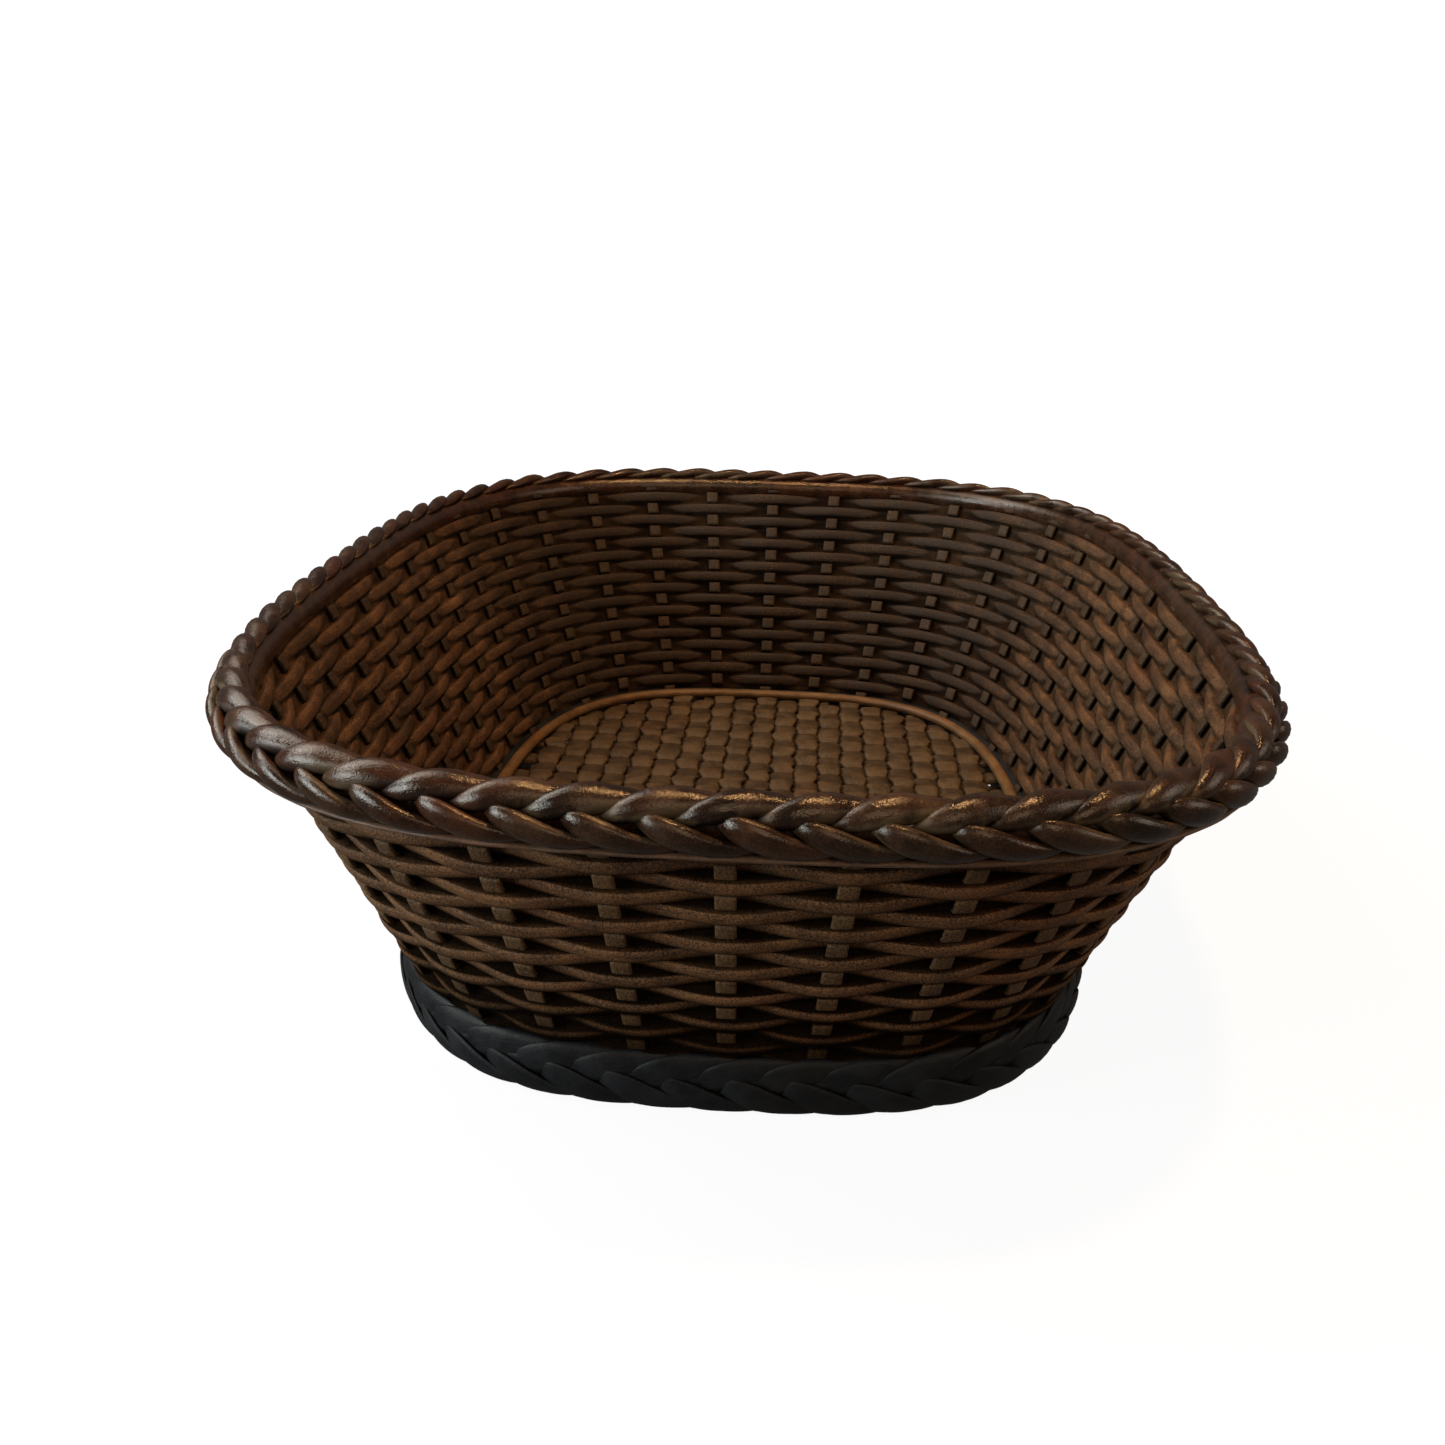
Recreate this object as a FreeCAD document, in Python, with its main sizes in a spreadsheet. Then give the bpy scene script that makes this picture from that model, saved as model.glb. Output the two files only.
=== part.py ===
import FreeCAD, Part
import math
import os

# An oval woven basket: a flared wall of upright stakes and closed weaver rows, a plaited rim,
# a plaited foot and a woven floor.  Millimetres, +Z up.  The origin is on the table, under the
# middle of the basket.  Y runs along the basket, X across it, and the front end is at -Y.

DIMENSIONS = [
    # alias, value, what it is
    ("rim_half_width", 150.0, "X half of the rim, at the wall's outer surface"),
    ("rim_half_length", 207.2, "Y half of the rim, at the wall's outer surface"),
    ("rim_squareness", 3.10, "exponent of the rim's superellipse"),
    ("foot_half_width", 106.0, "X half of the wall at its foot"),
    ("foot_half_length", 162.6, "Y half of the wall at its foot"),
    ("foot_squareness", 3.16, "exponent of the foot's superellipse"),
    ("wall_foot_height", 5.0, "height at which the flared wall starts"),
    ("wall_rim_height", 101.7, "height at which the wall reaches the middle of the rim"),
    ("stake_count", 40.0, "upright stakes, an even number so that every row closes"),
    ("row_count", 18.0, "weaver rows"),
    ("row_rise", 5.03, "height from one row to the next"),
    ("first_row_drop", 1.2, "how far the first row runs below the rim height"),
    ("first_stake_turn", 0.001, "share of the way round from the front middle to the first stake"),
    ("weaver_height", 4.4, "height of a weaver's section"),
    ("weaver_thickness", 2.3, "thickness of a weaver's section"),
    ("weaver_swing", 1.1, "how far a weaver swings out and in past the stakes"),
    ("stake_width", 5.3, "width of a stake"),
    ("stake_thickness", 1.3, "thickness of a stake"),
    ("stake_swing", 0.9, "how far a stake swings out and in past the weavers"),
    ("rim_hoop_half_width", 2.4, "half width of the hoop along the rim's inner edge"),
    ("rim_hoop_half_height", 2.2, "half height of that hoop"),
    ("rim_hoop_inward", 4.9, "how far inside the wall's outer surface that hoop runs"),
    ("rim_hoop_lift", 4.6, "how far above the rim plait's axis that hoop runs"),
    ("rim_turns", 24.0, "whole plait repeats round the rim"),
    ("rim_strand_width", 5.4, "width of a rim plait strand"),
    ("rim_widest", 62.0, "angle from the plait's middle to where a rim strand turns back"),
    ("rim_tilt", 24.0, "angle by which the middle of the rim plait looks upwards"),
    ("rim_reach_out", 5.0, "how far the rim plait's middle line stands out from its axis"),
    ("rim_reach_up", 4.7, "how far the rim plait's middle line stands up from its axis"),
    ("rim_axis_height", 101.7, "height of the rim plait's axis"),
    ("foot_turns", 19.0, "whole plait repeats round the foot"),
    ("foot_strand_width", 7.0, "width of a foot plait strand"),
    ("foot_widest", 58.0, "angle from the plait's middle to where a foot strand turns back"),
    ("foot_lean", 0.3, "how far out the foot plait leans for each millimetre up"),
    ("foot_reach_out", 3.2, "how far the foot plait's middle line stands out from its axis"),
    ("foot_reach_up", 8.0, "how far the foot plait's middle line stands up from its axis"),
    ("foot_axis_height", 8.6, "height of the foot plait's axis"),
    ("foot_axis_out", 3.0, "how far the foot plait's axis stands outside the wall's foot"),
    ("strand_thickness", 2.2, "thickness of a plait strand"),
    ("strand_swing", 1.45, "how far a plait strand swings over and under the others"),
    ("hoop_inset", 1.2, "how far inside the wall's foot the flat hoop's outer edge runs"),
    ("hoop_width", 6.0, "width of the flat hoop that the basket stands on"),
    ("hoop_height", 5.4, "height of the flat hoop"),
    ("floor_height", 7.6, "height of the middle of the woven floor"),
    ("floor_pitch", 9.0, "spacing of the floor strips both ways"),
    ("floor_strip_width", 5.8, "width of a floor strip"),
    ("floor_strip_thickness", 1.3, "thickness of a floor strip"),
    ("floor_swing", 0.8, "how far a floor strip swings up and down"),
    ("floor_inset", 3.9, "how far inside the wall's foot the floor strips end"),
    ("bead_radius", 1.9, "radius of the round cane where the floor meets the wall"),
    ("bead_inset", 6.6, "how far inside the wall's outer surface that cane runs"),
    ("bead_height", 11.0, "height of that cane's middle"),
    ("cord_radius", 1.1, "radius of the fine cord under the rim plait"),
    ("cord_outward", 1.7, "how far outside the wall's outer surface that cord runs"),
    ("cord_drop", 5.6, "how far below the rim plait's axis that cord runs"),
]

doc = FreeCAD.newDocument("woven_basket")
sheet = doc.addObject("Spreadsheet::Sheet", "dimensions")
for line, (alias, value, meaning) in enumerate(DIMENSIONS, start=1):
    sheet.set("A%d" % line, alias)
    sheet.set("B%d" % line, "%g" % value)
    sheet.set("C%d" % line, meaning)
    sheet.setAlias("B%d" % line, alias)
doc.recompute()


def size(alias):
    return float(getattr(sheet, alias))


STAKES = int(size("stake_count"))
ROWS = int(size("row_count"))
WALL_RISE = size("wall_rim_height") - size("wall_foot_height")
WALL_FLARE = size("rim_half_width") - size("foot_half_width")
LEAN = math.atan2(WALL_FLARE, WALL_RISE)
ROW_STEP = size("row_rise") / WALL_RISE
FIRST_ROW_LEVEL = 1 - size("first_row_drop") / WALL_RISE
BEAD_LEVEL = (size("bead_height") - size("wall_foot_height")) / WALL_RISE
# The outer faces of the weavers lie on the wall's outer surface, so the middle of the weave is inside it.
WEAVE_DEPTH = size("weaver_swing") + size("weaver_thickness") / 2

parts = []


# ---------------------------------------------------------------- the oval plan

def mix(low, high, share):
    return low + (high - low) * share


def oval(level):
    """Half width, half length and squareness of the wall at a level, 0 at its foot and 1 at the rim."""
    return (mix(size("foot_half_width"), size("rim_half_width"), level),
            mix(size("foot_half_length"), size("rim_half_length"), level),
            mix(size("foot_squareness"), size("rim_squareness"), level))


def oval_point(shape, angle):
    half_width, half_length, squareness = shape
    across = abs(math.cos(angle) / half_width) ** squareness
    along = abs(math.sin(angle) / half_length) ** squareness
    radius = (across + along) ** (-1 / squareness)
    return radius * math.cos(angle), radius * math.sin(angle)


def oval_normal(shape, x, y):
    half_width, half_length, squareness = shape
    gradient_x = math.copysign((abs(x) / half_width) ** (squareness - 1) / half_width, x)
    gradient_y = math.copysign((abs(y) / half_length) ** (squareness - 1) / half_length, y)
    return FreeCAD.Vector(gradient_x, gradient_y, 0).normalize()


def even_angles(shape, steps=1440):
    """Angles from the front middle round towards +X, with the length of the oval up to each of them."""
    angles = [-math.pi / 2 + 2 * math.pi * step / steps for step in range(steps + 1)]
    lengths = [0.0]
    for before, after in zip(angles, angles[1:]):
        x0, y0 = oval_point(shape, before)
        x1, y1 = oval_point(shape, after)
        lengths.append(lengths[-1] + math.hypot(x1 - x0, y1 - y0))
    return angles, lengths


FOOT_TABLE = even_angles(oval(0))
RIM_TABLE = even_angles(oval(1))


def angle_in(table, share):
    angles, lengths = table
    wanted = (share % 1.0) * lengths[-1]
    low, high = 0, len(lengths) - 1
    while high - low > 1:
        middle = (low + high) // 2
        if lengths[middle] <= wanted:
            low = middle
        else:
            high = middle
    return mix(angles[low], angles[high], (wanted - lengths[low]) / (lengths[high] - lengths[low]))


def plan(share, level, outward, height):
    """A point at a share of the way round, set off level with the table from the wall's outer surface."""
    shape = oval(level)
    angle = mix(angle_in(FOOT_TABLE, share), angle_in(RIM_TABLE, share), level)
    x, y = oval_point(shape, angle)
    return FreeCAD.Vector(x, y, height) + oval_normal(shape, x, y) * outward


def wall(share, level, outward):
    """A point set off square to the leaning wall, from the middle of its weave."""
    depth = outward - WEAVE_DEPTH
    height = size("wall_foot_height") + WALL_RISE * level - depth * math.sin(LEAN)
    return plan(share, level, depth * math.cos(LEAN), height)


# ---------------------------------------------------------------- strips as solids

def smooth(points, closed):
    """A curve through the points at even steps, so that neighbouring corners of a band keep abreast."""
    steps = len(points) + 1 if closed else len(points)
    curve = Part.BSplineCurve()
    curve.interpolate(Points=points, PeriodicFlag=closed, Parameters=[float(step) for step in range(steps)])
    return curve


def stretch(curve, first, last):
    piece = curve.copy()
    piece.segment(float(first), float(last))
    return piece.toShape()


def band(lines, closed, stretches=1):
    """A solid whose corners run along the lines of points.

    A closed one goes round in a whole number of stretches, and an open one has four lines and two ends.
    """
    curves = [smooth(points, closed) for points in lines]
    steps = len(lines[0]) if closed else len(lines[0]) - 1
    faces = []
    for number in range(stretches):
        edges = [stretch(curve, steps * number / stretches, steps * (number + 1) / stretches) for curve in curves]
        for edge, following in zip(edges, edges[1:] + edges[:1]):
            faces.append(Part.makeRuledSurface(edge, following, 1))
    if not closed:
        for end in (0, -1):
            first, second, third, fourth = [points[end] for points in lines]
            near = Part.makeLine(first, second)
            far = Part.makeLine(fourth, third)
            faces.append(Part.makeRuledSurface(near, far, 1))
    shell = Part.Shell(faces)
    shell.sewShape()
    solid = Part.Solid(shell)
    if solid.Volume < 0:
        solid.reverse()
    return solid


def oval_section(half_height, half_thickness):
    """Six corners, (across, out), of a weaver's or a strand's section."""
    shoulder = 0.55
    return [(half_height, 0), (half_height * shoulder, half_thickness), (-half_height * shoulder, half_thickness),
            (-half_height, 0), (-half_height * shoulder, -half_thickness), (half_height * shoulder, -half_thickness)]


def flat_section(half_width, half_thickness):
    return [(half_width, half_thickness), (-half_width, half_thickness),
            (-half_width, -half_thickness), (half_width, -half_thickness)]


def add_woven(label, solids):
    """A sub-part whose woven shape neither a sketch feature nor a primitive can make."""
    feature = doc.addObject("Part::Feature", label)
    feature.Label = label
    feature.Shape = solids[0] if len(solids) == 1 else Part.makeCompound(solids)
    feature.Placement = FreeCAD.Placement()
    parts.append(feature)


def path_wire(label, level, outward, height, steps=96):
    """A closed guide line round the oval, not a sub-part."""
    guide = doc.addObject("Part::Feature", label)
    points = [plan(step / steps, level, outward, height) for step in range(steps)]
    guide.Shape = Part.Wire(smooth(points, closed=True).toShape())
    return guide


# ---------------------------------------------------------------- rows, stakes

def add_weaver(row):
    level = FIRST_ROW_LEVEL - ROW_STEP * row
    section = oval_section(size("weaver_height") / 2, size("weaver_thickness") / 2)
    height_to_level = math.cos(LEAN) / WALL_RISE
    steps = 2 * STAKES
    lines = []
    for up, out in section:
        points = []
        for step in range(steps):
            swing = size("weaver_swing") * math.cos(math.pi * (step * STAKES / steps + row))
            share = size("first_stake_turn") + step / steps
            points.append(wall(share, level + up * height_to_level, swing + out))
        lines.append(points)
    add_woven("weaver_row_%02d" % (row + 1), [band(lines, closed=True, stretches=STAKES // 2)])


def stake_solid(number, top_level, foot_level):
    section = flat_section(size("stake_width") / 2, size("stake_thickness") / 2)
    half_rows = int(round(2 * (top_level - foot_level) / ROW_STEP))
    lines = []
    for across, out in section:
        points = []
        for step in range(half_rows + 1):
            level = top_level - (top_level - foot_level) * step / half_rows
            row = (FIRST_ROW_LEVEL - level) / ROW_STEP
            swing = -size("stake_swing") * math.cos(math.pi * (number + row))
            girth = mix(FOOT_TABLE[1][-1], RIM_TABLE[1][-1], level)
            share = size("first_stake_turn") + number / STAKES + across / girth
            points.append(wall(share, level, swing + out))
        lines.append(points)
    return band(lines, closed=False)


def add_stakes():
    """Stakes side by side share a node in twos."""
    top_level = FIRST_ROW_LEVEL + 0.4 * ROW_STEP
    foot_level = FIRST_ROW_LEVEL - (ROWS + 0.7) * ROW_STEP
    for first in range(0, STAKES, 2):
        solids = [stake_solid(number, top_level, foot_level) for number in (first, first + 1)]
        add_woven("stakes_%02d_%02d" % (first + 1, first + 2), solids)


# ---------------------------------------------------------------- three-strand plaits

def plait_strand(strand, name, place):
    """One strand of a plait.  place(share, angle, depth) is a point on the rounded band the plait lies on."""
    turns = int(size(name + "_turns"))
    steps_per_turn = 8
    steps = turns * steps_per_turn
    half_width = size(name + "_strand_width") / 2
    widest = math.radians(size(name + "_widest"))
    section = oval_section(half_width, size("strand_thickness") / 2)
    lines = []
    for across, out in section:
        points = []
        for step in range(steps):
            phase = -2 * math.pi * step / steps_per_turn + 2 * math.pi * strand / 3
            angle = widest * math.sin(phase) + across / size(name + "_reach_up")
            depth = -size("strand_swing") * math.sin(2 * phase) + out
            points.append(place(step / steps, angle, depth))
        lines.append(points)
    return band(lines, closed=True, stretches=turns)


def rim_place(share, angle, depth):
    tilt = math.radians(size("rim_tilt"))
    out = (size("rim_reach_out") + depth) * math.cos(angle + tilt)
    up = (size("rim_reach_up") + depth) * math.sin(angle + tilt)
    return plan(share, 1, out, size("rim_axis_height") + up)


def foot_place(share, angle, depth):
    up = (size("foot_reach_up") + depth) * math.sin(angle)
    out = size("foot_axis_out") + size("foot_lean") * up + (size("foot_reach_out") + depth) * math.cos(angle)
    return plan(share, 0, out, size("foot_axis_height") + up)


def add_plaits():
    for name, place in (("rim", rim_place), ("foot", foot_place)):
        for strand in range(3):
            add_woven("%s_plait_strand_%d" % (name, strand + 1), [plait_strand(strand, name, place)])


# ---------------------------------------------------------------- hoops, bead and cord

def add_sweep(label, guide, profile):
    sweep = doc.addObject("Part::Sweep", label)
    sweep.Label = label
    sweep.Sections = [profile]
    sweep.Spine = (guide, ["Edge1"])
    sweep.Solid = True
    sweep.Frenet = False
    sweep.Placement = FreeCAD.Placement()
    parts.append(sweep)


def place_profile(profile, guide):
    """Stands a round profile square to the start of its guide line, which runs along +X at the front."""
    start = guide.Shape.Edges[0].Vertexes[0].Point
    profile.Placement = FreeCAD.Placement(start, FreeCAD.Rotation(FreeCAD.Vector(0, 1, 0), 90))


def add_round_ring(label, radius_alias, level, outward, height):
    guide = path_wire(label + "_guide", level, outward, height)
    profile = doc.addObject("Part::Circle", label + "_profile")
    profile.setExpression("Radius", "dimensions." + radius_alias)
    place_profile(profile, guide)
    add_sweep(label, guide, profile)


def add_rim_hoop():
    height = size("rim_axis_height") + size("rim_hoop_lift")
    guide = path_wire("rim_hoop_guide", 1, -size("rim_hoop_inward"), height)
    profile = doc.addObject("Part::Ellipse", "rim_hoop_profile")
    profile.setExpression("MajorRadius", "dimensions.rim_hoop_half_width")
    profile.setExpression("MinorRadius", "dimensions.rim_hoop_half_height")
    place_profile(profile, guide)
    add_sweep("rim_hoop", guide, profile)


def prism(label, outline, height_expression):
    block = doc.addObject("Part::Extrusion", label)
    block.Base = outline
    block.DirMode = "Custom"
    block.Dir = FreeCAD.Vector(0, 0, 1)
    block.Solid = True
    block.setExpression("LengthFwd", height_expression)
    return block


def add_flat_hoop():
    """The hoop that the basket stands on: its underside is the flat face at height 0."""
    outside = path_wire("foot_hoop_outline", 0, -size("hoop_inset"), 0)
    inside = path_wire("foot_hoop_hole_outline", 0, -size("hoop_inset") - size("hoop_width"), 0)
    hoop = doc.addObject("Part::Cut", "foot_hoop")
    hoop.Label = "foot_hoop"
    hoop.Base = prism("foot_hoop_block", outside, "dimensions.hoop_height")
    hoop.Tool = prism("foot_hoop_hole", inside, "dimensions.hoop_height")
    hoop.Placement = FreeCAD.Placement()
    parts.append(hoop)


# ---------------------------------------------------------------- the woven floor

def floor_reach(offset, lengthwise):
    """How far the floor runs each way from its middle line, along a strip that far to the side."""
    half_width, half_length, squareness = oval(0)
    side, reach = (half_width, half_length) if lengthwise else (half_length, half_width)
    left_over = 1 - (offset / (side - size("floor_inset"))) ** squareness
    return (reach - size("floor_inset")) * left_over ** (1 / squareness)


def wave_stops(reach):
    """Places along a strip, with its swing there as a share: flat over each crossing, then a quick step."""
    pitch = size("floor_pitch")
    flat = 0.34
    stops = []
    count = int(reach / pitch)
    for crossing in range(-count, count + 1):
        sign = 1 if crossing % 2 == 0 else -1
        for shift in (-flat, 0, flat):
            place = (crossing + shift) * pitch
            if abs(place) < reach - 1:
                stops.append((place, sign))
    first_sign = stops[0][1]
    last_sign = stops[-1][1]
    return [(-reach, first_sign)] + stops + [(reach, last_sign)]


def floor_strip(offset, parity, reach, lengthwise):
    swing = size("floor_swing") * parity
    lines = []
    for across, out in flat_section(size("floor_strip_width") / 2, size("floor_strip_thickness") / 2):
        points = []
        for place, sign in wave_stops(reach):
            height = size("floor_height") + swing * sign + out
            if lengthwise:
                points.append(FreeCAD.Vector(offset + across, place, height))
            else:
                points.append(FreeCAD.Vector(place, offset + across, height))
        lines.append(points)
    return band(lines, closed=False)


def add_floor_strips(prefix, count, lengthwise):
    """Strips in side-by-side groups, one group to a node."""
    pitch = size("floor_pitch")
    group = 6
    for first in range(-count, count + 1, group):
        solids = []
        for index in range(first, min(first + group, count + 1)):
            reach = floor_reach(abs(index) * pitch + size("floor_strip_width") / 2, lengthwise)
            parity = 1 if (index % 2 == 0) == lengthwise else -1
            solids.append(floor_strip(index * pitch, parity, reach, lengthwise))
        add_woven("%s_%d" % (prefix, (first + count) // group + 1), solids)


# ---------------------------------------------------------------- the whole basket

add_flat_hoop()
add_plaits()
add_rim_hoop()
add_round_ring("rim_cord", "cord_radius", 1, size("cord_outward"), size("rim_axis_height") - size("cord_drop"))
add_round_ring("floor_bead", "bead_radius", BEAD_LEVEL, -size("bead_inset"), size("bead_height"))
for row in range(ROWS):
    add_weaver(row)
add_stakes()
add_floor_strips("floor_long_strips", 10, lengthwise=True)
add_floor_strips("floor_cross_strips", 16, lengthwise=False)
doc.recompute()

for item in doc.Objects:
    if "Invalid" in item.State or "Error" in item.State:
        raise RuntimeError("%s failed: %s" % (item.Name, item.State))

for part in parts:
    if part.Shape.isNull() or not part.Shape.isValid():
        raise RuntimeError("%s has no sound shape" % part.Label)

os.makedirs("parts", exist_ok=True)
for part in parts:
    part.Shape.exportStep("parts/%s.step" % part.Label)
    print("%-24s %2d solids %10.1f mm3" % (part.Label, len(part.Shape.Solids), part.Shape.Volume))
print("%d sub-parts" % len(parts))
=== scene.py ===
import math
import bpy
import numpy as np
from mathutils import Matrix, Vector


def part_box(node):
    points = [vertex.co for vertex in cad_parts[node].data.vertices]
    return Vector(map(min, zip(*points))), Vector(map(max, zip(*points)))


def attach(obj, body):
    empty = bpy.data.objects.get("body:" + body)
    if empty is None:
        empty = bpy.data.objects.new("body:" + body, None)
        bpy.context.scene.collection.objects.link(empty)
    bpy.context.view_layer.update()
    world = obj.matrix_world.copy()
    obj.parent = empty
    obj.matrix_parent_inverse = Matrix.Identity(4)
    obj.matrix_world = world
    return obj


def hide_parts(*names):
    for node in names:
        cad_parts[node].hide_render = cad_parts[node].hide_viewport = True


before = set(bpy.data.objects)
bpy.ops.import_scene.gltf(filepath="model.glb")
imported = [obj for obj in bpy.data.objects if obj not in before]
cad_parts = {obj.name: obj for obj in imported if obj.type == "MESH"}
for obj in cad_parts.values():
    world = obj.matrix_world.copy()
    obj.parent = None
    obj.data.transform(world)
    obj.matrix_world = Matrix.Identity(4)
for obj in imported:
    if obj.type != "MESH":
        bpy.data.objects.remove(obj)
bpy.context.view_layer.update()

# The looks of an oval woven basket.  Shapes are worked out in millimetres from the boxes of the
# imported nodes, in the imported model's frame, and become metres as each mesh is made.

MM = 0.001
ROOT = "root"
STAKES = 40
ROWS = 18
RIM_SQUARENESS = 3.10
FOOT_SQUARENESS = 3.16
OVAL_SAMPLES = 2881
RNG_SEED = 11


# ---------------------------------------------------------------- the frame's sizes

def node_box(node):
    low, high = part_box(node)
    return np.array(low) / MM, np.array(high) / MM


def row_name(row):
    return "weaver_row_%02d" % (row + 1)


class Oval:
    """A superellipse seen from above, walked by its share of the way round from the front middle."""

    def __init__(self, half_width, half_length, squareness):
        self.half_width = half_width
        self.half_length = half_length
        self.squareness = squareness
        angles = np.linspace(-math.pi / 2, 1.5 * math.pi, OVAL_SAMPLES)
        points = self.at_angle(angles)
        steps = np.linalg.norm(np.diff(points, axis=0), axis=1)
        self.angles = angles
        self.lengths = np.concatenate([[0.0], np.cumsum(steps)])
        self.girth = self.lengths[-1]

    def at_angle(self, angles):
        across = np.abs(np.cos(angles) / self.half_width) ** self.squareness
        along = np.abs(np.sin(angles) / self.half_length) ** self.squareness
        radius = (across + along) ** (-1 / self.squareness)
        return np.stack([radius * np.cos(angles), radius * np.sin(angles)], axis=-1)

    def at(self, shares):
        """Points and outward directions."""
        angles = np.interp(np.mod(shares, 1.0) * self.girth, self.lengths, self.angles)
        points = self.at_angle(angles)
        x, y = points[..., 0], points[..., 1]
        power = self.squareness - 1
        slope_x = np.sign(x) * (np.abs(x) / self.half_width) ** power / self.half_width
        slope_y = np.sign(y) * (np.abs(y) / self.half_length) ** power / self.half_length
        gradient = np.stack([slope_x, slope_y], axis=-1)
        gradient /= np.linalg.norm(gradient, axis=-1, keepdims=True)
        return points, gradient


# How far a weaver row's box reaches past the middle of the wall, and how far round the oval the whole
# weave is turned, as a share of its girth.
WEAVE_HALF = 2.5
STAKE_TURN = 0.001
TOP_ROW, LOW_ROW = 0, 16
top_low, top_high = node_box(row_name(TOP_ROW))
low_low, low_high = node_box(row_name(LOW_ROW))
TOP_HALF = (top_high - top_low)[:2] / 2 - WEAVE_HALF
LOW_HALF = (low_high - low_low)[:2] / 2 - WEAVE_HALF
TOP_Z = (top_high[2] + top_low[2]) / 2
LOW_Z = (low_high[2] + low_low[2]) / 2
LEAN = math.atan2(TOP_HALF[0] - LOW_HALF[0], TOP_Z - LOW_Z)


def mix(low, high, share):
    return low + (high - low) * share


def wall_oval(row):
    share = row / LOW_ROW
    half = mix(TOP_HALF, LOW_HALF, share)
    return Oval(half[0], half[1], mix(RIM_SQUARENESS, FOOT_SQUARENESS, share))


def wall_height(row):
    return mix(TOP_Z, LOW_Z, row / LOW_ROW)


def smoothstep(low, high, value):
    share = np.clip((value - low) / (high - low), 0, 1)
    return share * share * (3 - 2 * share)


def signed_power(value, power):
    return np.sign(value) * np.abs(value) ** power


def round_turns(count):
    """Angles of the points round a cane's section."""
    return np.linspace(0, 2 * math.pi, count, endpoint=False)


def flowing(nodes, count):
    """Evenly spaced values that pass smoothly through each row of the nodes."""
    nodes = np.array(nodes)
    slopes = np.gradient(nodes, axis=0)
    places = np.linspace(0, len(nodes) - 1, count)
    before = np.minimum(places.astype(int), len(nodes) - 2)
    part = (places - before)[:, None]
    start_weight = (1 + 2 * part) * (1 - part) ** 2
    end_weight = part ** 2 * (3 - 2 * part)
    bends = part * (1 - part) ** 2 * slopes[before] - part ** 2 * (1 - part) * slopes[before + 1]
    return start_weight * nodes[before] + end_weight * nodes[before + 1] + bends


def low_waves(rng, shares, count, size):
    """A smooth closed wander round the basket."""
    total = np.zeros_like(shares)
    for wave in range(1, count + 1):
        total += rng.normal() * np.sin(2 * math.pi * (wave * shares + rng.random())) / math.sqrt(count)
    return total * size


# ---------------------------------------------------------------- meshes

UV_PER_MM = 0.1
# Each strip of a mesh starts this many millimetres further along the stain, so that no two look alike.
STRIP_OFFSET = 370.0


def strips(name, rings, closed, material, shade_and_dust=0.0, tone_and_shade=0.5):
    """One mesh of several strips, each through rings of points: (strip, along, around, xyz).

    The UV map holds the length and girth in centimetres.  Open strips get end faces.
    """
    count, along, around = rings.shape[:3]
    spans = along if closed else along - 1
    strip = np.arange(count)[:, None, None] * along * around
    row = np.arange(spans)[None, :, None]
    column = np.arange(around)[None, None, :]
    beside = (column + 1) % around
    this_row, next_row = strip + row * around, strip + (row + 1) % along * around
    faces = np.stack([this_row + column, this_row + beside, next_row + beside, next_row + column], axis=-1)

    middle = rings.mean(axis=2)
    steps = np.linalg.norm(np.roll(middle, -1, axis=1) - middle, axis=-1)
    offset = STRIP_OFFSET * np.arange(count)[:, None]
    far = np.concatenate([np.zeros((count, 1)), np.cumsum(steps, axis=1)], axis=1) + offset
    widest = rings[:, along // 2]
    girths = np.linalg.norm(np.roll(widest, -1, axis=1) - widest, axis=-1)
    round_by = np.concatenate([np.zeros((count, 1)), np.cumsum(girths, axis=1)], axis=1)
    shape = (count, spans, around)
    near_u = np.broadcast_to(far[:, :spans, None], shape)
    far_u = np.broadcast_to(far[:, 1:spans + 1, None], shape)
    near_v = np.broadcast_to(round_by[:, None, :-1], shape)
    far_v = np.broadcast_to(round_by[:, None, 1:], shape)
    corners = ((near_u, near_v), (near_u, far_v), (far_u, far_v), (far_u, near_v))
    uvs = np.stack([np.stack(corner, axis=-1) for corner in corners], axis=3).reshape(-1, 2)
    loops = faces.reshape(-1)
    sizes = np.full(count * spans * around, 4)
    if not closed:
        first = np.arange(count)[:, None] * along * around + np.arange(around)[None, ::-1]
        last = (np.arange(count)[:, None] + 1) * along * around - around + np.arange(around)[None, :]
        ends = np.concatenate([first, last]).reshape(-1)
        loops = np.concatenate([loops, ends])
        sizes = np.concatenate([sizes, np.full(2 * count, around)])
        uvs = np.concatenate([uvs, np.zeros((len(ends), 2))])

    mesh = bpy.data.meshes.new(name)
    mesh.vertices.add(count * along * around)
    mesh.vertices.foreach_set("co", (rings.reshape(-1) * MM).astype(np.float32))
    mesh.loops.add(len(loops))
    mesh.loops.foreach_set("vertex_index", loops.astype(np.int32))
    mesh.polygons.add(len(sizes))
    mesh.polygons.foreach_set("loop_start", np.concatenate([[0], np.cumsum(sizes)[:-1]]).astype(np.int32))
    mesh.uv_layers.new(name="length_girth")
    mesh.update(calc_edges=True)
    mesh.uv_layers[0].data.foreach_set("uv", (uvs * UV_PER_MM).reshape(-1).astype(np.float32))
    mesh.polygons.foreach_set("use_smooth", np.ones(len(sizes), dtype=bool))
    for label, values in (("shade_and_dust", shade_and_dust), ("tone_and_shade", tone_and_shade)):
        layer = mesh.attributes.new(label, "FLOAT", "POINT")
        flat = np.broadcast_to(values, (count, along, around)).reshape(-1)
        layer.data.foreach_set("value", flat.astype(np.float32))
    mesh.validate()
    mesh.materials.append(material)
    piece = bpy.data.objects.new(name, mesh)
    bpy.context.scene.collection.objects.link(piece)
    return piece


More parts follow.
